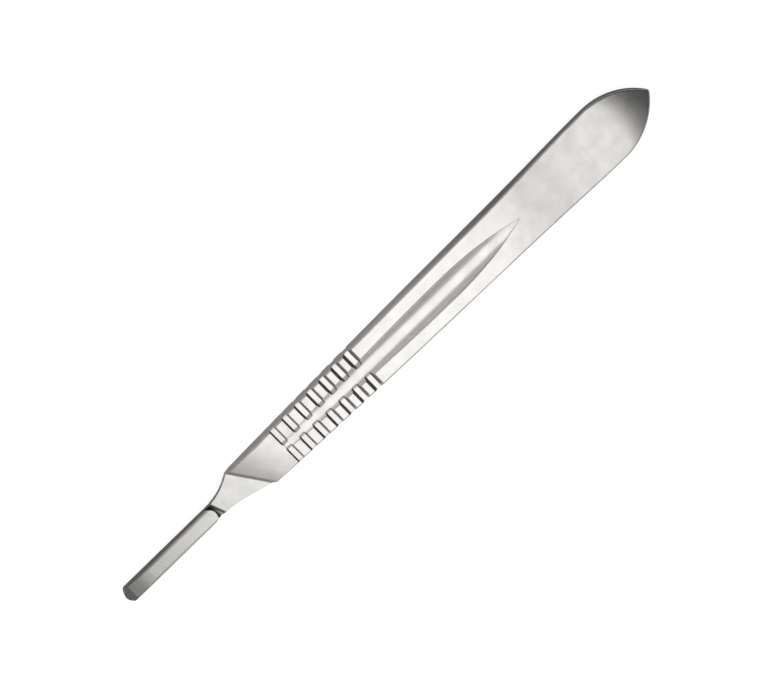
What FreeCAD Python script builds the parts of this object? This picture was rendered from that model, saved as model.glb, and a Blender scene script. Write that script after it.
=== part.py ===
import FreeCAD, Part
import math
import os
import Sketcher
from FreeCAD import Vector

# A scalpel handle of the wide pattern, forged and ground from one bar of stainless steel.
# X runs from the nose of the tang to the tail, Z up out of the shown face, and the middle
# plane of the bar is Z = 0 while it is drawn. It is set down on its back face at the end.

doc = FreeCAD.newDocument("ScalpelHandle")
sheet = doc.addObject("Spreadsheet::Sheet", "Sizes")

# Lengths in millimetres, angles in degrees. Distances along the bar are from the nose.
SIZES = [
    ("handle_length", 135.0, "nose of the tang to the tip of the tail"),
    ("body_thickness", 3.5, "grip and ribbed part, face to face"),
    ("tail_thickness", 2.2, "flat stretch before the tail is bevelled"),
    ("tip_thickness", 0.9, "edge left standing at the tip"),
    ("thinning_length", 27.0, "over which both faces draw in"),
    ("tail_length", 16.0, "from the end of that run to the tip of the tail"),
    ("bevel_length", 8.6, "tail stretch that is rolled off to the tip"),
    ("bevel_bow", 2.4104, "of the line where that roll starts, from the middle to the sides"),
    ("bar_start", 20.0, "front end of the full-width bar, cut away by the flare"),
    ("bar_half_width", 3.49, "there"),
    ("swell_place", 70.0, "first pull on the long edge's curve"),
    ("swell_half_width", 5.19, "there"),
    ("waist_place", 102.0, "second pull on the curve"),
    ("waist_half_width", 5.02, "there"),
    ("tail_pull_length", 9.0, "level run of the curve into the widest place"),
    ("tail_half_width", 6.13, "at the widest place"),
    ("tail_round_length", 11.6, "pointed round of the tail"),
    ("tip_radius", 0.6, "in plan, at the very tip"),
    ("edge_radius", 0.35, "long edges, broken by hand"),
    ("shoulder_place", 31.7, "foot of the shoulder on the centre line"),
    ("shoulder_angle", 56.7, "between the shoulder and the centre line"),
    ("shoulder_slope_length", 0.9, "of the steep wall, along the bar"),
    ("shoulder_wall_height", 1.27, "of the steep wall above the neck"),
    ("shoulder_roll_length", 6.8, "gentle run from the wall to the face"),
    ("neck_level", 0.25, "of the seat for the blade, above the middle plane"),
    ("back_level", 1.0, "of the tang's back, below the middle plane"),
    ("back_slope_length", 2.2, "of the ramp behind the neck, along the bar"),
    ("tang_width", 3.1, "flange and base"),
    ("stem_width", 2.0, "between the two slots for the blade"),
    ("stem_setback", 0.9, "of its rear end from the flange's"),
    ("stem_round_length", 0.8, "of its rear end"),
    ("slot_height", 0.45, "takes a blade 0.4 thick"),
    ("flange_thickness", 0.45, "at its rear end"),
    ("flange_crown_width", 0.55, "of the round along each side of its top"),
    ("flange_crown_drop", 0.2, "of that round at the side"),
    ("flange_length", 22.9, "nose to the apex of its rear end"),
    ("flange_round_length", 1.15, "of its rear end"),
    ("nose_round_length", 0.9, "bulge of the nose in plan"),
    ("nose_bevel_length", 1.6, "of the bevel that leads the blade on"),
    ("nose_roll_length", 5.0, "from that bevel up to the flange's level top"),
    ("nose_roll_drop", 0.18, "over that run"),
    ("nose_edge_height", 0.35, "left of the flange and slot at the nose"),
    ("notch_start", 22.2, "front wall of the notch, under the flange"),
    ("notch_place", 22.65, "where the notch is deepest"),
    ("notch_end", 23.9, "where it has risen to the seat"),
    ("notch_depth", 0.55, "below the seat"),
    ("notch_angle", 71.0, "between the notch and the centre line"),
    ("left_flare_start", 22.0, "where the neck leaves the tang on the +Y side"),
    ("left_flare_length", 6.4, "curved part of that flare"),
    ("left_flare_angle", 31.0, "of its straight part"),
    ("right_flare_start", 23.0, "where the neck leaves the tang on the -Y side"),
    ("right_flare_length", 6.4, "curved part of that flare"),
    ("right_flare_angle", 15.5, "of its straight part"),
    ("channel_start", 41.2, "front end of the channel"),
    ("channel_start_half_width", 0.3, "of its floor, there"),
    ("channel_widest", 83.0, "where the channel is widest"),
    ("channel_half_width", 1.95, "of its floor, there"),
    ("channel_tip", 99.8, "where the channel ends in a point"),
    ("rib_radius", 5.4, "across the rib that fills the channel"),
    ("rib_drop", 0.04, "of the rib's crest below the face"),
    ("rib_margin", 0.5, "of the rib beyond the channel's side and floor"),
    ("channel_core_depth", 0.5, "to which the channel is sunk before the rib is laid in"),
    ("channel_side_slope", 45.0, "of the channel's sides, from upright"),
    ("groove_count", 7, "finger grooves across each rail"),
    ("groove_start", 41.2, "middle of the first groove"),
    ("groove_pitch", 3.27, "from one groove to the next"),
    ("groove_floor", 0.98, "width of a groove's bottom"),
    ("groove_depth", 0.38, "of the first groove on its level stretch"),
    ("groove_wall_angle", 38.0, "of its walls from upright"),
    ("groove_clearance", 1.3, "height of the cutter's flanks"),
    ("groove_middle", 2.2, "from the centre line, on the level stretch"),
    ("groove_ramp_start", 1.0, "inner end of the level stretch"),
    ("groove_ramp_radius", 0.8, "of the run-out towards the centre line"),
    ("groove_ramp_rise", 0.3, "of the run-out above the face"),
    ("groove_fall_start", 3.5, "outer end of the level stretch"),
    ("groove_fall_radius", 3.0, "of the fall to the side"),
    ("groove_fall_end", 5.4, "from the centre line, outside the bar"),
    ("groove_row_spread", 0.8, "from the first to the last groove, away from the centre line"),
    ("groove_row_fall", 0.4, "from the first to the last groove, deeper"),
]

sheet.set("A1", "name")
sheet.set("B1", "value")
sheet.set("C1", "meaning")
for row, (alias, number, meaning) in enumerate(SIZES, start=2):
    sheet.set("A%d" % row, alias)
    sheet.set("B%d" % row, str(number))
    sheet.set("C%d" % row, meaning)
    sheet.setAlias("B%d" % row, alias)
doc.recompute()


def cell(alias):
    """The expression that reads one size from the sheet."""
    return "Sizes." + alias


def number(expression):
    """What an expression on the sheet comes to."""
    result = sheet.evalExpression(expression)
    return float(getattr(result, "Value", result))


body = doc.addObject("PartDesign::Body", "Handle")
body.Label = "handle"


def origin_part(role):
    """One of the body's origin planes or axes."""
    return ([f for f in body.Origin.OriginFeatures if f.Role == role][0], [""])


def sketch_on(role, name, offset=None):
    """A sketch on one of the body's origin planes, lifted off it by an expression."""
    sketch = body.newObject("Sketcher::SketchObject", name)
    sketch.AttachmentSupport = origin_part(role)
    sketch.MapMode = "FlatFace"
    if offset:
        sketch.setExpression("AttachmentOffset.Base.z", offset)
    return sketch


def bind(sketch, kind, places, expression):
    """A dimension that follows the sheet; a negative one is measured the other way."""
    size = number(expression)
    if kind in ("DistanceX", "DistanceY") and size < 0:
        places = places[2:] + places[:2]
        size = -size
        expression = "-(%s)" % expression
    index = sketch.addConstraint(Sketcher.Constraint(kind, *places, size))
    sketch.setExpression("Constraints[%d]" % index, expression)


def fix_point(sketch, geometry, end, x, y):
    """Places one end of a line or arc by two expressions."""
    if x == "0":
        sketch.addConstraint(Sketcher.Constraint("PointOnObject", geometry, end, -2))
    else:
        bind(sketch, "DistanceX", (-1, 1, geometry, end), x)
    if y == "0":
        sketch.addConstraint(Sketcher.Constraint("PointOnObject", geometry, end, -1))
    else:
        bind(sketch, "DistanceY", (-1, 1, geometry, end), y)


def arc_between(start, finish, radius, side):
    """The shorter arc of that radius; side +1 curves to the left of the way it runs."""
    chord = finish - start
    half = chord.Length / 2
    rise = math.sqrt(max(radius ** 2 - half ** 2, 0))
    left = Vector(-chord.y, chord.x, 0).normalize()
    centre = (start + finish) / 2 + left * rise * side
    first = math.atan2(start.y - centre.y, start.x - centre.x)
    last = math.atan2(finish.y - centre.y, finish.x - centre.x)
    if side < 0:
        first, last = last, first
    circle = Part.Circle(centre, Vector(0, 0, 1), radius)
    return Part.ArcOfCircle(circle, first, last)


def smooth_curve(sketch, start, finish, pulls):
    """One cubic spline between two points, pulled towards others that follow the sheet."""
    poles = [start] + [Vector(number(x), number(y), 0) for x, y in pulls] + [finish]
    inner = len(poles) - 4
    knots = [i / (inner + 1) for i in range(inner + 2)]
    spline = Part.BSplineCurve()
    spline.buildFromPolesMultsKnots(poles, [4] + [1] * inner + [4], knots, False, 3)
    geometry = sketch.addGeometry(spline)
    first_pole = sketch.GeometryCount
    sketch.exposeInternalGeometry(geometry)
    for i, (x, y) in enumerate(pulls, start=1):
        fix_point(sketch, first_pole + i, 3, x, y)
    return geometry


def draw(sketch, corners, bends=None, curves=None, closed=True):
    """An outline whose corners are pairs of expressions. A stretch is named by the corner it
    starts from: bends gives the radius and side of each that is an arc, and curves the pulls
    of each that is a spline. An open outline ends at its last corner."""
    bends = bends or {}
    curves = curves or {}
    points = [Vector(number(x), number(y), 0) for x, y in corners]
    count = len(corners)
    stretches = count if closed else count - 1
    ends = []
    for i in range(stretches):
        start, finish = points[i], points[(i + 1) % count]
        if i in curves:
            ends.append((smooth_curve(sketch, start, finish, curves[i]), 1, 2))
        elif i in bends:
            radius, side = bends[i]
            geometry = sketch.addGeometry(arc_between(start, finish, number(radius), side))
            ends.append((geometry, 1, 2) if side > 0 else (geometry, 2, 1))
        else:
            ends.append((sketch.addGeometry(Part.LineSegment(start, finish)), 1, 2))
    for i in range(stretches):
        geometry, first, last = ends[i]
        fix_point(sketch, geometry, first, *corners[i])
        if closed or i + 1 < stretches:
            following = ends[(i + 1) % count]
            places = (geometry, last, following[0], following[1])
            sketch.addConstraint(Sketcher.Constraint("Coincident", *places))
        else:
            fix_point(sketch, geometry, last, *corners[-1])
    for i, (radius, side) in bends.items():
        bind(sketch, "Radius", (ends[i][0],), radius)
    return sketch


def feature(kind, name, profile, **settings):
    """One feature on a sketch; a setting given as text is an expression on the sheet."""
    made = body.newObject("PartDesign::" + kind, name)
    made.Profile = profile
    for setting, value in settings.items():
        if isinstance(value, str) and setting in ("Length", "TaperAngle"):
            made.setExpression(setting, value)
        else:
            setattr(made, setting, value)
    return made


def mirrored(name, originals, role):
    """The same features on the other side of one of the origin planes."""
    copy = body.newObject("PartDesign::Mirrored", name)
    copy.Originals = originals
    copy.MirrorPlane = origin_part(role)
    body.Tip = copy
    return copy


def makeup(step):
    """How many faces and edges a feature's shape has, how far it reaches and what it holds."""
    shape = step.Shape
    return len(shape.Faces), len(shape.Edges), shape.BoundBox.DiagonalLength, shape.Volume


def check(step, before):
    """Stops if a feature failed, or left the shape as it was."""
    doc.recompute()
    if "Invalid" in step.State or "Error" in step.State or step.Shape.isNull():
        raise RuntimeError("%s failed: %s" % (step.Name, step.State))
    if before is not None and makeup(step) == makeup(before):
        raise RuntimeError("%s changed nothing" % step.Name)
    print("%-18s %3d faces" % (step.Name, len(step.Shape.Faces)))
    return step


def negative(expression):
    """The same distance on the other side of the centre line."""
    return "0" if expression == "0" else "-(%s)" % expression


def edges_where(shape, test):
    """Names of the edges that pass a test."""
    return ["Edge%d" % i for i, edge in enumerate(shape.Edges, start=1) if test(edge)]


# The bar: both long sides swell over the grip, draw in at the waist and widen to the tail.
# That ends in two long rounds, which the small round of the tip joins smoothly.
tail_start = "%s - %s" % (cell("handle_length"), cell("tail_round_length"))
tip_run = "(%s - %s)" % (cell("tail_round_length"), cell("tip_radius"))
tail_radius = "((%s^2 + %s^2 - %s^2) / (2 * (%s - %s)))" % (
    tip_run, cell("tail_half_width"), cell("tip_radius"), cell("tail_half_width"), cell("tip_radius"))
tail_share = "(%s / (%s - %s))" % (tail_radius, tail_radius, cell("tip_radius"))
tip_join = "%s + %s * %s" % (tail_start, tip_run, tail_share)
tip_side = "(%s - %s) * (%s - 1)" % (tail_radius, cell("tail_half_width"), tail_share)
side_pulls = [
    (cell("swell_place"), cell("swell_half_width")),
    (cell("waist_place"), cell("waist_half_width")),
    ("%s - %s" % (tail_start, cell("tail_pull_length")), cell("tail_half_width")),
]
plan = draw(
    sketch_on("XY_Plane", "BarPlan"),
    [
        (cell("bar_start"), negative(cell("bar_half_width"))),
        (tail_start, negative(cell("tail_half_width"))),
        (tip_join, negative(tip_side)),
        (tip_join, tip_side),
        (tail_start, cell("tail_half_width")),
        (cell("bar_start"), cell("bar_half_width")),
    ],
    bends={1: (tail_radius, 1), 2: (cell("tip_radius"), 1), 3: (tail_radius, 1)},
    curves={
        0: [(x, negative(y)) for x, y in side_pulls],
        4: list(reversed(side_pulls)),
    },
)
bar = check(feature("Pad", "Bar", plan, Length=cell("body_thickness"), SideType="Symmetric"), None)

# Both faces draw in towards the tail by a long easy curve, run level, and roll off to the
# blunt edge of the tip.
thinning_end = "(%s - %s)" % (cell("handle_length"), cell("tail_length"))
thinning_start = "(%s - %s)" % (thinning_end, cell("thinning_length"))
middle = "(%s + %s) / 2" % (thinning_start, thinning_end)
middle_level = "(%s + %s) / 4" % (cell("body_thickness"), cell("tail_thickness"))
half_run = "%s / 2" % cell("thinning_length")
half_drop = "(%s - %s) / 4" % (cell("body_thickness"), cell("tail_thickness"))
thinning_radius = "(({0})^2 + ({1})^2) / (2 * ({1}))".format(half_run, half_drop)
face_level = "%s / 2" % cell("body_thickness")
tail_level = "%s / 2" % cell("tail_thickness")
tip_level = "%s / 2" % cell("tip_thickness")
clear_level = "%s / 2 + 2" % cell("body_thickness")
clear_end = "%s + 2" % cell("handle_length")
profile = draw(
    sketch_on("XZ_Plane", "FaceProfile"),
    [
        (thinning_start, face_level),
        (middle, middle_level),
        (thinning_end, tail_level),
        (clear_end, tail_level),
        (clear_end, clear_level),
        (thinning_start, clear_level),
    ],
    bends={0: (thinning_radius, -1), 1: (thinning_radius, 1)},
)
across = "4 * %s" % cell("tail_half_width")
thinned = feature("Pocket", "FaceThinning", profile, Length=across, SideType="Symmetric")
check(thinned, bar)

# The roll to the tip is turned about an upright axis, so that it starts on a bow in plan.
bevel_drop = "(%s - %s)" % (tail_level, tip_level)
bevel_round = "((%s^2 + %s^2) / (2 * %s))" % (cell("tail_half_width"), cell("bevel_bow"), cell("bevel_bow"))
bevel_radius = "({0}^2 + {1}^2) / (2 * {1})".format(cell("bevel_length"), bevel_drop)
bevel_profile = sketch_on("XZ_Plane", "TailProfile")
bevel_profile.setExpression(
    "AttachmentOffset.Base.x",
    "%s - %s - %s" % (cell("handle_length"), cell("bevel_length"), bevel_round))
tip_place = "%s + %s" % (bevel_round, cell("bevel_length"))
draw(
    bevel_profile,
    [
        (bevel_round, tail_level),
        (tip_place, tip_level),
        (tip_place + " + 2", tip_level),
        (tip_place + " + 2", clear_level),
        (bevel_round, clear_level),
    ],
    bends={0: (bevel_radius, -1)},
)
bevel = feature(
    "Groove", "TailBevel", bevel_profile, ReferenceAxis=(bevel_profile, ["V_Axis"]),
    Angle=180, Midplane=True)
check(bevel, thinned)
thinned_both = check(mirrored("BothFacesThinned", [thinned, bevel], "XY_Plane"), bevel)


def is_upright(edge):
    return abs(edge.tangentAt(edge.FirstParameter).z) > 0.99


def is_wall(face):
    """An upright face, such as the side of the bar."""
    first, last, low, high = face.ParameterRange
    return abs(face.normalAt((first + last) / 2, (low + high) / 2).z) < 0.01


wall_edges = [edge for face in thinned_both.Shape.Faces if is_wall(face) for edge in face.Edges]


def is_long_edge(edge):
    """An edge between a face and the side wall, not one straight across the bar."""
    along = abs(edge.tangentAt(edge.FirstParameter).y) < 0.95
    return along and not is_upright(edge) and any(edge.isSame(other) for other in wall_edges)


edges = body.newObject("PartDesign::Fillet", "LongEdges")
edges.Base = (thinned_both, edges_where(thinned_both.Shape, is_long_edge))
edges.setExpression("Radius", cell("edge_radius"))
check(edges, thinned_both)


def flare(name, side, start, run, angle):
    """Metal cut away beside the neck, where it flares from the tang to the bar."""
    tang_side = "%s / 2" % cell("tang_width")
    bend_end = "%s + %s" % (cell(start), cell(run))
    bend_side = "%s + %s * tan(%s / 2)" % (tang_side, cell(run), cell(angle))
    outside = "%s + 3" % cell("bar_half_width")
    line_end = "%s + (%s - (%s)) / tan(%s)" % (bend_end, outside, bend_side, cell(angle))
    before = "%s - 1" % cell("bar_start")
    corners = [
        (before, tang_side),
        (cell(start), tang_side),
        (bend_end, bend_side),
        (line_end, outside),
        (before, outside),
    ]
    if side < 0:
        corners = [(x, negative(y)) for x, y in corners]
    radius = "%s / sin(%s)" % (cell(run), cell(angle))
    outline = draw(sketch_on("XY_Plane", name + "Plan"), corners, bends={1: (radius, side)})
    return feature("Pocket", name, outline, Length="2 * %s" % cell("body_thickness"), SideType="Symmetric")


left = check(flare("LeftFlare", 1, "left_flare_start", "left_flare_length", "left_flare_angle"), edges)
right = check(flare("RightFlare", -1, "right_flare_start", "right_flare_length", "right_flare_angle"), left)


def slanted_cut(name, angle, corners, bends=None):
    """A profile seen from the side, run across the bar at an angle to the centre line."""
    outline = draw(sketch_on("XZ_Plane", name + "Profile"), corners, bends)
    cut = feature("Pocket", name, outline, Length=across, SideType="Symmetric", UseCustomVector=True)
    cut.setExpression("Direction.x", "-cos(%s)" % cell(angle))
    cut.setExpression("Direction.y", "sin(%s)" % cell(angle))
    cut.setExpression("Direction.z", "0")
    return cut


# The seat for the blade is sunk between the tang and the slanted shoulder, whose steep wall
# the butt of the blade lies against. The face rolls gently down to the top of that wall.
cut_start = "%s - %s" % (cell("bar_start"), across)
wall_top = "%s + %s" % (cell("shoulder_place"), cell("shoulder_slope_length"))
wall_level = "%s + %s" % (cell("neck_level"), cell("shoulder_wall_height"))
roll_end = "%s + %s" % (wall_top, cell("shoulder_roll_length"))
roll_drop = "(%s - (%s))" % (face_level, wall_level)
roll_radius = "({0}^2 + {1}^2) / (2 * {1})".format(cell("shoulder_roll_length"), roll_drop)
seat = slanted_cut(
    "BladeSeat",
    "shoulder_angle",
    [
        (cut_start, cell("neck_level")),
        (cell("shoulder_place"), cell("neck_level")),
        (wall_top, wall_level),
        (roll_end, face_level),
        (roll_end, clear_level),
        (cut_start, clear_level),
    ],
    bends={2: (roll_radius, -1)},
)
check(seat, right)

back_end = "%s + %s" % (cell("shoulder_place"), cell("back_slope_length"))
back = slanted_cut(
    "BackOfNeck",
    "shoulder_angle",
    [
        (cut_start, negative(cell("back_level"))),
        (cell("shoulder_place"), negative(cell("back_level"))),
        (back_end, negative(face_level)),
        (back_end, negative(clear_level)),
        (cut_start, negative(clear_level)),
    ],
)
check(back, seat)


# The tang: a base as thick as the neck, a narrow stem on it and a flange over the stem, which
# leave a slot along each side for the edges of the blade's opening.
nose_radius = "((%s / 2)^2 + %s^2) / (2 * %s)" % (
    cell("tang_width"), cell("nose_round_length"), cell("nose_round_length"))


def tang_layer(name, level, width, rear, rear_round, thickness):
    """A layer of the tang: the same round nose, its own width and its own rear end."""
    side = "%s / 2" % width
    front = "%s - sqrt((%s)^2 - (%s)^2)" % (nose_radius, nose_radius, side)
    corners = [(front, negative(side)), (rear, negative(side)), (rear, side), (front, side)]
    bends = {3: (nose_radius, 1)}
    if rear_round:
        bends[1] = ("((%s)^2 + %s^2) / (2 * %s)" % (side, rear_round, rear_round), 1)
    outline = draw(sketch_on("XY_Plane", name + "Plan", level), corners, bends)
    return feature("Pad", name, outline, Length=thickness)


base = tang_layer(
    "TangBase", negative(cell("back_level")), cell("tang_width"), "%s + 1" % cell("notch_end"), None,
    "%s + %s" % (cell("back_level"), cell("neck_level")))
check(base, back)

# A notch behind the flange frees the end of the blade. It rises to the seat by a long round.
notch_floor = "%s - %s" % (cell("neck_level"), cell("notch_depth"))
notch_rise = "(%s - %s)" % (cell("notch_end"), cell("notch_place"))
notch_radius = "({0}^2 + {1}^2) / (2 * {1})".format(notch_rise, cell("notch_depth"))
notch = slanted_cut(
    "Notch",
    "notch_angle",
    [
        (cell("notch_start"), cell("neck_level")),
        (cell("notch_place"), notch_floor),
        (cell("notch_end"), cell("neck_level")),
        (cell("notch_end"), face_level),
        (cell("notch_start"), face_level),
    ],
    bends={1: (notch_radius, -1)},
)
check(notch, base)

slot_top = "%s + %s" % (cell("neck_level"), cell("slot_height"))
stem = tang_layer(
    "Stem", cell("neck_level"), cell("stem_width"),
    "%s - %s - %s" % (cell("flange_length"), cell("stem_setback"), cell("stem_round_length")),
    cell("stem_round_length"), cell("slot_height"))
check(stem, notch)
flange = tang_layer(
    "Flange", slot_top, cell("tang_width"),
    "%s - %s" % (cell("flange_length"), cell("flange_round_length")),
    cell("flange_round_length"), cell("flange_thickness"))
check(flange, stem)

# The flange is bevelled at the nose, to lead the blade on, and rolls up from there.
flange_top = "%s + %s" % (slot_top, cell("flange_thickness"))
nose_edge = "%s + %s" % (cell("neck_level"), cell("nose_edge_height"))
roll_place = "%s + %s" % (cell("nose_bevel_length"), cell("nose_roll_length"))
nose_radius_up = "(%s^2 + %s^2) / (2 * %s)" % (
    cell("nose_roll_length"), cell("nose_roll_drop"), cell("nose_roll_drop"))
nose_profile = draw(
    sketch_on("XZ_Plane", "NoseProfile"),
    [
        ("-1", nose_edge),
        ("0", nose_edge),
        (cell("nose_bevel_length"), "%s - %s" % (flange_top, cell("nose_roll_drop"))),
        (roll_place, flange_top),
        (roll_place, clear_level),
        ("-1", clear_level),
    ],
    bends={2: (nose_radius_up, -1)},
)
nose = check(feature("Pocket", "NoseBevel", nose_profile, Length=across, SideType="Symmetric"), flange)

# Its top rounds off along both sides.
tang_side = "(%s / 2)" % cell("tang_width")
crown_start = "%s - %s" % (tang_side, cell("flange_crown_width"))
crown_foot = "%s - %s" % (flange_top, cell("flange_crown_drop"))
crown_radius = "({0}^2 + {1}^2) / (2 * {1})".format(
    cell("flange_crown_width"), cell("flange_crown_drop"))
crown_profile = draw(
    sketch_on("YZ_Plane", "CrownProfile", cell("flange_length")),
    [
        (crown_start, flange_top),
        (tang_side, crown_foot),
        (tang_side + " + 1", crown_foot),
        (tang_side + " + 1", clear_level),
        (crown_start, clear_level),
    ],
    bends={0: (crown_radius, -1)},
)
crown = feature("Pocket", "FlangeCrown", crown_profile, Length="%s + 1" % cell("flange_length"))
check(crown, nose)
crown_both = check(mirrored("BothSidesCrowned", [crown], "XZ_Plane"), crown)


# A spear-shaped channel runs along each face with a round rib down its middle, whose crest
# stays level with the face and follows it where it draws in.
channel_side = cell("channel_half_width")
start_side = cell("channel_start_half_width")
front_run = "(%s - %s)" % (cell("channel_widest"), cell("channel_start"))
front_rise = "(%s - %s)" % (channel_side, start_side)
rear_run = "(%s - %s)" % (cell("channel_tip"), cell("channel_widest"))
front_radius = "({0}^2 + {1}^2) / (2 * {1})".format(front_run, front_rise)
rear_radius = "({0}^2 + {1}^2) / (2 * {1})".format(rear_run, channel_side)
core_level = "%s - %s" % (face_level, cell("channel_core_depth"))
spear = draw(
    sketch_on("XY_Plane", "ChannelPlan", core_level),
    [
        (cell("channel_start"), negative(start_side)),
        (cell("channel_widest"), negative(channel_side)),
        (cell("channel_tip"), "0"),
        (cell("channel_widest"), channel_side),
        (cell("channel_start"), start_side),
    ],
    bends={0: (front_radius, 1), 1: (rear_radius, 1), 2: (rear_radius, 1), 3: (front_radius, 1)},
)
channel = feature(
    "Pocket", "Channel", spear, Length=cell("channel_core_depth"), Reversed=True,
    TaperAngle=cell("channel_side_slope"))
check(channel, crown_both)

crest = "%s - %s" % (face_level, cell("rib_drop"))
spine_start = "%s - 1" % cell("channel_start")
spine = draw(
    sketch_on("XZ_Plane", "RibLine"),
    [
        (spine_start, crest),
        (thinning_start, crest),
        (middle, "%s - %s" % (middle_level, cell("rib_drop"))),
        (thinning_end, "%s / 2 - %s" % (cell("tail_thickness"), cell("rib_drop"))),
    ],
    bends={1: (thinning_radius, -1), 2: (thinning_radius, 1)},
    closed=False,
)
rib_side = "%s + %s" % (channel_side, cell("rib_margin"))
rib_edge = "%s - (%s - sqrt(%s^2 - (%s)^2))" % (crest, cell("rib_radius"), cell("rib_radius"), rib_side)
rib_foot = "%s - %s" % (core_level, cell("rib_margin"))
rib_section = draw(
    sketch_on("YZ_Plane", "RibSection", spine_start),
    [
        (negative(rib_side), rib_foot),
        (rib_side, rib_foot),
        (rib_side, rib_edge),
        (negative(rib_side), rib_edge),
    ],
    bends={2: (cell("rib_radius"), 1)},
)
rib = feature("AdditivePipe", "Rib", rib_section, Spine=(spine, []))
check(rib, channel)
both_channels = check(mirrored("BothChannels", [channel, rib], "XY_Plane"), rib)


# Finger grooves cross the rails on both faces. Each has a level stretch, from which one cut
# runs out towards the rib and another falls to the side of the bar.
groove_level = "(%s - %s)" % (face_level, cell("groove_depth"))
groove_side = "%s / 2" % cell("groove_floor")
groove_rim = "%s + %s" % (groove_level, cell("groove_clearance"))
rim_side = "(%s + %s * tan(%s))" % (groove_side, cell("groove_clearance"), cell("groove_wall_angle"))
groove_section = draw(
    sketch_on("XZ_Plane", "GrooveSection", negative(cell("groove_middle"))),
    [
        ("%s - %s" % (cell("groove_start"), groove_side), groove_level),
        ("%s + %s" % (cell("groove_start"), groove_side), groove_level),
        ("%s + %s" % (cell("groove_start"), rim_side), groove_rim),
        ("%s - %s" % (cell("groove_start"), rim_side), groove_rim),
    ],
)


def groove_cut(name, level_end, curve_end, end_level, radius, side):
    """The groove's section swept along a level line and on along an arc."""
    line = draw(
        sketch_on("YZ_Plane", name + "Line", cell("groove_start")),
        [(cell("groove_middle"), groove_level), (cell(level_end), groove_level), (curve_end, end_level)],
        bends={1: (cell(radius), side)},
        closed=False,
    )
    return feature("SubtractivePipe", name, groove_section, Spine=(line, []), Mode="Fixed")


ramp_rise = "(%s + %s)" % (cell("groove_depth"), cell("groove_ramp_rise"))
ramp_run = "sqrt(2 * %s * %s - %s^2)" % (cell("groove_ramp_radius"), ramp_rise, ramp_rise)
ramp_end = "%s - %s" % (cell("groove_ramp_start"), ramp_run)
ramp = groove_cut(
    "GrooveRamp", "groove_ramp_start", ramp_end, "%s + %s" % (groove_level, ramp_rise),
    "groove_ramp_radius", -1)
check(ramp, both_channels)
fall_run = "(%s - %s)" % (cell("groove_fall_end"), cell("groove_fall_start"))
fall_drop = "(%s - sqrt(%s^2 - %s^2))" % (cell("groove_fall_radius"), cell("groove_fall_radius"), fall_run)
fall = groove_cut(
    "GrooveFall", "groove_fall_start", cell("groove_fall_end"), "%s - %s" % (groove_level, fall_drop),
    "groove_fall_radius", -1)
check(fall, ramp)

# The row of grooves goes away from the centre line and deeper as it goes along the bar, so it
# follows a line on a plane that is tilted about the length of the bar.
row_run = "%s * (%s - 1)" % (cell("groove_pitch"), cell("groove_count"))
row_side = "sqrt(%s^2 + %s^2)" % (cell("groove_row_spread"), cell("groove_row_fall"))
row = sketch_on("XY_Plane", "GrooveRow")
row.AttachmentOffset = FreeCAD.Placement(Vector(), FreeCAD.Rotation(Vector(1, 0, 0), -1))
row.setExpression(
    "AttachmentOffset.Rotation.Angle",
    "-atan(%s / %s)" % (cell("groove_row_fall"), cell("groove_row_spread")))
draw(row, [("0", "0"), (row_run, row_side)], closed=False)

grooves = body.newObject("PartDesign::MultiTransform", "Grooves")
grooves.Originals = [ramp, fall]
along_bar = body.newObject("PartDesign::LinearPattern", "AlongBar")
along_bar.Direction = (row, ["Edge1"])
along_bar.setExpression("Length", "sqrt((%s)^2 + %s^2)" % (row_run, row_side))
along_bar.setExpression("Occurrences", cell("groove_count"))
across_centre = body.newObject("PartDesign::Mirrored", "OtherRail")
across_centre.MirrorPlane = origin_part("XZ_Plane")
across_middle = body.newObject("PartDesign::Mirrored", "OtherFace")
across_middle.MirrorPlane = origin_part("XY_Plane")
grooves.Transformations = [along_bar, across_centre, across_middle]
body.Tip = grooves
check(grooves, fall)

# The handle is set down on its back face, with the origin under the middle of its length.
body.setExpression("Placement.Base.x", "-%s / 2" % cell("handle_length"))
body.setExpression("Placement.Base.z", face_level)
doc.recompute()

for thing in doc.Objects:
    if "Invalid" in thing.State or "Error" in thing.State:
        raise RuntimeError("%s failed: %s" % (thing.Name, thing.State))
if body.Shape.isNull() or not body.Shape.isValid():
    raise RuntimeError("the handle is not a valid solid")

os.makedirs("parts", exist_ok=True)
solid = body.Shape.Solids[0]
solid.exportStep("parts/%s.step" % body.Label)
print("weight", round(solid.Volume * 7.75e-3, 2), "g; centre of mass", solid.CenterOfMass)
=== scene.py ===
import math

import bpy
from mathutils import Matrix, Vector


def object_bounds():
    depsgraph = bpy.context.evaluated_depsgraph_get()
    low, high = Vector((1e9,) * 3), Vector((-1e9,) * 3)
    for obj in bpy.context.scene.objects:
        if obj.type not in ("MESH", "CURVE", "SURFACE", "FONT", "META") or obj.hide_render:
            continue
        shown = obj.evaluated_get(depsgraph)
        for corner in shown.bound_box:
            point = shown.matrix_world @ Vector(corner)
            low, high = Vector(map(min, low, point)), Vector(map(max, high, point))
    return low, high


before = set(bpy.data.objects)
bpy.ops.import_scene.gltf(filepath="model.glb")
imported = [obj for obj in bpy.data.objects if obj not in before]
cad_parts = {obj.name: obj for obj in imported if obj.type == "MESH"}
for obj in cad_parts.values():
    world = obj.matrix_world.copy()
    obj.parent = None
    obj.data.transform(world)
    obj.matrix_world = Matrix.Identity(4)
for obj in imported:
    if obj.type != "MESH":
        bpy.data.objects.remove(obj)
cad_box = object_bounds()

# ---- The handle -------------------------------------------------------------------------
# One forging of martensitic stainless steel. Its faces are ground flat and satin polished
# along their length; the sides and the flanks of the grooves keep a duller finish and are
# coloured darker as painted shade, and handling has brightened every edge.


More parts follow.
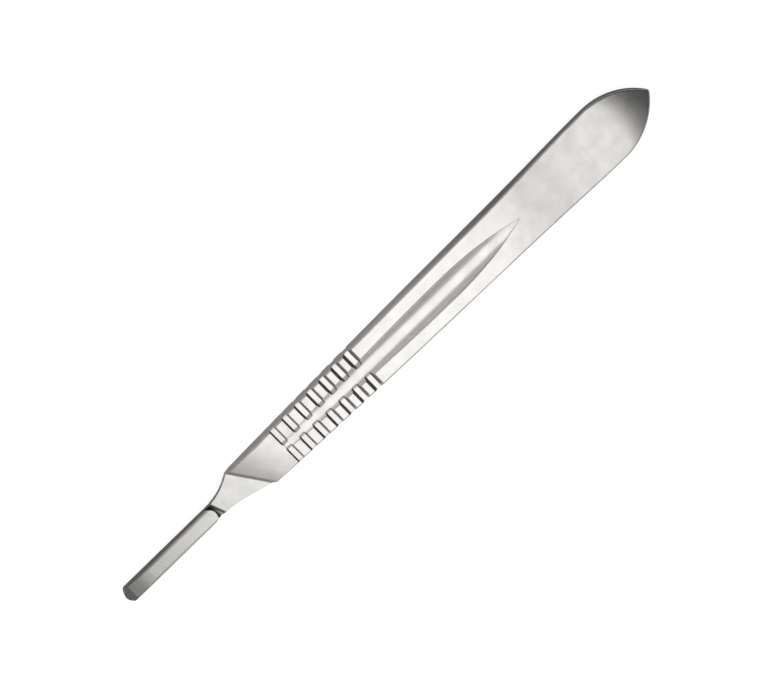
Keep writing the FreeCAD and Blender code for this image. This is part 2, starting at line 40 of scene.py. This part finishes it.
def linear(hex_colour):
    """An sRGB hex colour as the linear colour that a shader takes."""
    parts = [int(hex_colour[i:i + 2], 16) / 255 for i in (1, 3, 5)]
    return [c / 12.92 if c <= 0.04045 else ((c + 0.055) / 1.055) ** 2.4 for c in parts] + [1.0]


def add_node(tree, kind, settings=None, inputs=None):
    """One shader node: settings are its own properties, inputs are socket values or links."""
    node = tree.nodes.new(kind)
    for name, value in (settings or {}).items():
        setattr(node, name, value)
    for name, value in (inputs or {}).items():
        if isinstance(value, bpy.types.NodeSocket):
            tree.links.new(value, node.inputs[name])
        else:
            node.inputs[name].default_value = value
    return node


def set_ramp(ramp, stops):
    """Gives a colour ramp its stops, each a position and a colour."""
    while len(ramp.elements) < len(stops):
        ramp.elements.new(1.0)
    for element, (position, colour) in zip(ramp.elements, stops):
        element.position = position
        element.color = colour


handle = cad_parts["handle"]

MM = 0.001
POLISHED_COLOUR = "#dddbd7"    # satin stainless steel, a little warm
PATCH_COLOUR = "#d3d2cf"       # where the polish is thinner
PATCH_SPREAD = (0.3, 0.7)      # of the patches' noise, from polished to thinly polished
# The sides and flanks are left as ground and duller. Their colour is painted shade: dark on
# the tang, lighter along the grip, dark again on the tail. Places are shares of the length, from
# the nose.
WALL_PAINTED_SHADES = [
    (0.0, "#918e88"), (0.15, "#918e88"), (0.23, "#dddad5"),
    (0.55, "#dddad5"), (0.75, "#a19e98"), (1.0, "#a19e98")]
DULL_AND_SHADED_TANG = (0.03, 0.17)       # over this stretch the duller finish and its painted shade draw back to the sides
# How level a surface still is where the duller finish and its painted shade start, and where
# they are full: first for the bar, then for the front of the tang. 1 is a level face and 0 an
# upright wall.
WALL_START = (0.92, 0.995)
WALL_FULL = (0.55, 0.86)
TAILWARD_PAINTED_SHADE = "#5a5854"    # painted shade on walls that face the tail
TAILWARD_LEAN = (0.2, 0.6)     # how far they face it, from no painted shade to full painted shade
FACE_ROUGHNESS = 0.22
PATCH_ROUGHNESS = 0.27
WALL_ROUGHNESS = 0.45
EDGE_ROUND = 0.1 * MM          # edges broken by tumbling
GRAIN_PITCH = 0.22 * MM        # drawn coarser than the real 0.05 mm grit lines, so as to show
GRAIN_LENGTH = 7 * MM
GRAIN_DEPTH = 0.0007 * MM
WAVE_SIZE = 7 * MM             # unevenness left by the polishing wheel
WAVE_DEPTH = 0.008 * MM
PATCH_SIZE = 3.2 * MM

steel = bpy.data.materials.new("satin_stainless_steel")
steel.use_nodes = True
tree = steel.node_tree
tree.nodes.clear()
place = add_node(tree, "ShaderNodeTexCoord").outputs["Object"]

along_grain = add_node(tree, "ShaderNodeMapping", inputs={
    "Vector": place,
    "Scale": (1 / GRAIN_LENGTH, 1 / GRAIN_PITCH, 1 / GRAIN_PITCH)}).outputs["Vector"]
grain = add_node(tree, "ShaderNodeTexNoise", inputs={
    "Vector": along_grain, "Scale": 1.0, "Detail": 2.0, "Roughness": 0.6}).outputs["Fac"]
wave = add_node(tree, "ShaderNodeTexNoise", inputs={
    "Vector": place, "Scale": 1 / WAVE_SIZE, "Detail": 1.0}).outputs["Fac"]
patch = add_node(tree, "ShaderNodeTexNoise", inputs={
    "Vector": place, "Scale": 1 / PATCH_SIZE, "Detail": 3.0}).outputs["Fac"]

facing = add_node(tree, "ShaderNodeSeparateXYZ", inputs={
    "Vector": add_node(tree, "ShaderNodeNewGeometry").outputs["True Normal"]}).outputs
upright = add_node(tree, "ShaderNodeMath", {"operation": "ABSOLUTE"}, {0: facing["Z"]}).outputs[0]
length = cad_box[1][0] - cad_box[0][0]
share = add_node(tree, "ShaderNodeMapRange", inputs={
    "Value": add_node(tree, "ShaderNodeSeparateXYZ", inputs={0: place}).outputs["X"],
    "From Min": -length / 2, "From Max": length / 2}).outputs["Result"]
# On the tang the duller finish and its painted shade also reach onto the sloping faces.
dull_and_shaded_tang = add_node(tree, "ShaderNodeMapRange", inputs={
    "Value": share, "From Min": DULL_AND_SHADED_TANG[1], "From Max": DULL_AND_SHADED_TANG[0]}).outputs["Result"]
wall_start = add_node(tree, "ShaderNodeMapRange", inputs={
    "Value": dull_and_shaded_tang, "To Min": WALL_START[0], "To Max": WALL_START[1]}).outputs["Result"]
wall_full = add_node(tree, "ShaderNodeMapRange", inputs={
    "Value": dull_and_shaded_tang, "To Min": WALL_FULL[0], "To Max": WALL_FULL[1]}).outputs["Result"]
wall = add_node(tree, "ShaderNodeMapRange", {"interpolation_type": "SMOOTHSTEP"}, {
    "Value": upright, "From Min": wall_start, "From Max": wall_full}).outputs["Result"]

# Painted shade of the walls along the length.
wall_shade = add_node(tree, "ShaderNodeValToRGB", inputs={"Fac": share})
set_ramp(wall_shade.color_ramp, [(at, linear(shade)) for at, shade in WALL_PAINTED_SHADES])
# Walls that face the tail are painted darker still, as painted shade.
tailward_shade = add_node(tree, "ShaderNodeMapRange", inputs={
    "Value": facing["X"],
    "From Min": TAILWARD_LEAN[0], "From Max": TAILWARD_LEAN[1]}).outputs["Result"]
painted_wall_shade = add_node(tree, "ShaderNodeMix", {"data_type": "RGBA"}, {
    0: tailward_shade, 6: wall_shade.outputs["Color"], 7: linear(TAILWARD_PAINTED_SHADE)}).outputs[2]

face_colour = add_node(tree, "ShaderNodeMix", {"data_type": "RGBA"}, {
    0: patch, 6: linear(POLISHED_COLOUR), 7: linear(PATCH_COLOUR)}).outputs[2]
# The walls take the painted shade in place of the polished colour, and are rougher as well.
colour = add_node(tree, "ShaderNodeMix", {"data_type": "RGBA"}, {
    0: wall, 6: face_colour, 7: painted_wall_shade}).outputs[2]
face_roughness = add_node(tree, "ShaderNodeMapRange", inputs={
    "Value": patch, "From Min": PATCH_SPREAD[0], "From Max": PATCH_SPREAD[1],
    "To Min": FACE_ROUGHNESS, "To Max": PATCH_ROUGHNESS}).outputs["Result"]
roughness = add_node(tree, "ShaderNodeMix", {"data_type": "FLOAT"}, {
    0: wall, 2: face_roughness, 3: WALL_ROUGHNESS}).outputs[0]

soft_edges = add_node(tree, "ShaderNodeBevel", {"samples": 8}, {
    "Radius": EDGE_ROUND}).outputs["Normal"]
wavy = add_node(tree, "ShaderNodeBump", inputs={
    "Height": wave, "Distance": WAVE_DEPTH, "Normal": soft_edges}).outputs["Normal"]
brushed = add_node(tree, "ShaderNodeBump", inputs={
    "Height": grain, "Distance": GRAIN_DEPTH, "Normal": wavy}).outputs["Normal"]
shader = add_node(tree, "ShaderNodeBsdfPrincipled", inputs={
    "Base Color": colour, "Metallic": 1.0, "Roughness": roughness, "Normal": brushed})
add_node(tree, "ShaderNodeOutputMaterial", inputs={"Surface": shader.outputs["BSDF"]})
handle.data.materials.clear()
handle.data.materials.append(steel)

# ---- The floor --------------------------------------------------------------------------
# A sheet of matt white paper on a light table. The camera sees it lighter than the steel
# does, so that it reads as a white page that still holds the handle's shadow.
PAPER_COLOUR = "#ececec"
PAPER_ROUGHNESS = 0.9
TABLE_COLOUR = "#ffffff"       # of the light through the paper
TABLE_GLOW = 0.02              # of that light, as the steel mirrors it
PAGE_GLOW = 0.78               # of that light, as the camera sees it
FLOOR_REACH = 3.0
floor_mesh = bpy.data.meshes.new("floor")
floor_mesh.from_pydata(
    [(-FLOOR_REACH, -FLOOR_REACH, 0), (FLOOR_REACH, -FLOOR_REACH, 0),
     (FLOOR_REACH, FLOOR_REACH, 0), (-FLOOR_REACH, FLOOR_REACH, 0)], [], [(0, 1, 2, 3)])
floor = bpy.data.objects.new("floor", floor_mesh)
bpy.context.scene.collection.objects.link(floor)

paper = bpy.data.materials.new("matt_white_paper")
paper.use_nodes = True
tree = paper.node_tree
tree.nodes.clear()
rays = add_node(tree, "ShaderNodeLightPath")
lift = add_node(tree, "ShaderNodeMapRange", inputs={
    "Value": rays.outputs["Is Camera Ray"],
    "To Min": TABLE_GLOW, "To Max": PAGE_GLOW}).outputs["Result"]
shader = add_node(tree, "ShaderNodeBsdfPrincipled", inputs={
    "Base Color": linear(PAPER_COLOUR), "Roughness": PAPER_ROUGHNESS, "Specular IOR Level": 0.0,
    "Emission Color": linear(TABLE_COLOUR), "Emission Strength": lift})
add_node(tree, "ShaderNodeOutputMaterial", inputs={"Surface": shader.outputs["BSDF"]})
floor_mesh.materials.append(paper)

# ---- The light --------------------------------------------------------------------------
# One softbox close over the handle, where the faces mirror it, in a light tent. The tent's
# cloth is lit over the middle and low down beyond the nose, and dim towards the tail. The
# table lights its hem all round, which the sides mirror.
TENT_LEVELS = [                # from straight beyond the nose to straight beyond the tail
    (0.0, 1.0), (0.13, 0.35), (0.3, 0.04), (0.37, 0.02), (0.47, 0.6),
    (0.53, 0.6), (0.63, 0.02), (0.85, 0.05), (1.0, 0.12)]
HEM_LEVEL = 0.7
HEM_HEIGHTS = (0.6, 0.42)      # sines of the angles above the table, from unlit to fully lit
PAGE_COLOUR = "#ffffff"        # of the background, which only the camera sees
world = bpy.data.worlds.new("light_tent")
bpy.context.scene.world = world
world.use_nodes = True
tree = world.node_tree
tree.nodes.clear()
way = add_node(tree, "ShaderNodeTexCoord").outputs["Generated"]
way_parts = add_node(tree, "ShaderNodeSeparateXYZ", inputs={0: way}).outputs
nose_to_tail = add_node(tree, "ShaderNodeMapRange", inputs={
    "Value": way_parts["X"], "From Min": -1.0, "From Max": 1.0}).outputs["Result"]
cloth = add_node(tree, "ShaderNodeValToRGB", inputs={"Fac": nose_to_tail})
cloth.color_ramp.interpolation = "EASE"
set_ramp(cloth.color_ramp, [(at, (level, level, level, 1)) for at, level in TENT_LEVELS])
hem = add_node(tree, "ShaderNodeMapRange", inputs={
    "Value": way_parts["Z"], "From Min": HEM_HEIGHTS[0], "From Max": HEM_HEIGHTS[1],
    "To Min": 0.0, "To Max": HEM_LEVEL}).outputs["Result"]
glow = add_node(tree, "ShaderNodeMath", {"operation": "MAXIMUM"}, {
    0: cloth.outputs["Color"], 1: hem}).outputs[0]
tent = add_node(tree, "ShaderNodeBackground", inputs={"Color": glow, "Strength": 1.0}).outputs[0]
page = add_node(tree, "ShaderNodeBackground", inputs={
    "Color": linear(PAGE_COLOUR), "Strength": 1.0}).outputs[0]
seen = add_node(tree, "ShaderNodeLightPath").outputs["Is Camera Ray"]
both = add_node(tree, "ShaderNodeMixShader", inputs={0: seen, 1: tent, 2: page}).outputs[0]
add_node(tree, "ShaderNodeOutputWorld", inputs={"Surface": both})

SOFTBOX_LEVEL = 1.0            # radiance of its cloth, where 1 shows as white
SOFTBOX_WIDTH = 184 * MM       # along the handle
SOFTBOX_DEPTH = 240 * MM
SOFTBOX_PLACE = Vector((13, -105, 344)) * MM
lamp = bpy.data.lights.new("softbox", "AREA")
lamp.shape = "RECTANGLE"
lamp.size = SOFTBOX_WIDTH
lamp.size_y = SOFTBOX_DEPTH
lamp.energy = SOFTBOX_LEVEL * math.pi * lamp.size * lamp.size_y
softbox = bpy.data.objects.new("softbox", lamp)
bpy.context.scene.collection.objects.link(softbox)
softbox.location = SOFTBOX_PLACE
straight_across = Vector((0, SOFTBOX_PLACE.y, SOFTBOX_PLACE.z))
softbox.rotation_euler = straight_across.to_track_quat("Z", "Y").to_euler()

# ---- The camera -------------------------------------------------------------------------
# It looks down on the handle from 600 mm, turned so that the handle lies aslant with its
# tail up, and tilted to the side where the handle's side wall shows.
TILT = math.radians(17)
TURN = math.radians(44.17)
PICTURE_WIDTH = 768            # pixels
PIXELS_PER_MM = 5.41
RIGHT_SHIFT = 5.2              # of the handle's middle from the picture's, in pixels
UP_SHIFT = 3.5
DISTANCE = 600 * MM
SENSOR_WIDTH = 36              # of a full-frame camera, in millimetres
away = Vector((0, math.sin(TILT), math.cos(TILT)))
across = Vector((0, math.cos(TILT), -math.sin(TILT)))
along = Vector((1, 0, 0))
right = along * math.cos(TURN) - across * math.sin(TURN)
up = along * math.sin(TURN) + across * math.cos(TURN)
pixel = MM / PIXELS_PER_MM
middle = Vector((0, 0, cad_box[1][2]))
target = middle - right * (RIGHT_SHIFT * pixel) - up * (UP_SHIFT * pixel)
camera_data = bpy.data.cameras.new("camera")
camera_data.sensor_width = SENSOR_WIDTH
camera_data.lens = SENSOR_WIDTH * DISTANCE / (PICTURE_WIDTH * pixel)
camera = bpy.data.objects.new("camera", camera_data)
bpy.context.scene.collection.objects.link(camera)
stand = Matrix.Translation(target + away * DISTANCE)
camera.matrix_world = stand @ Matrix((right, up, away)).transposed().to_4x4()
bpy.context.scene.camera = camera
bpy.context.scene.view_settings.view_transform = "Standard"
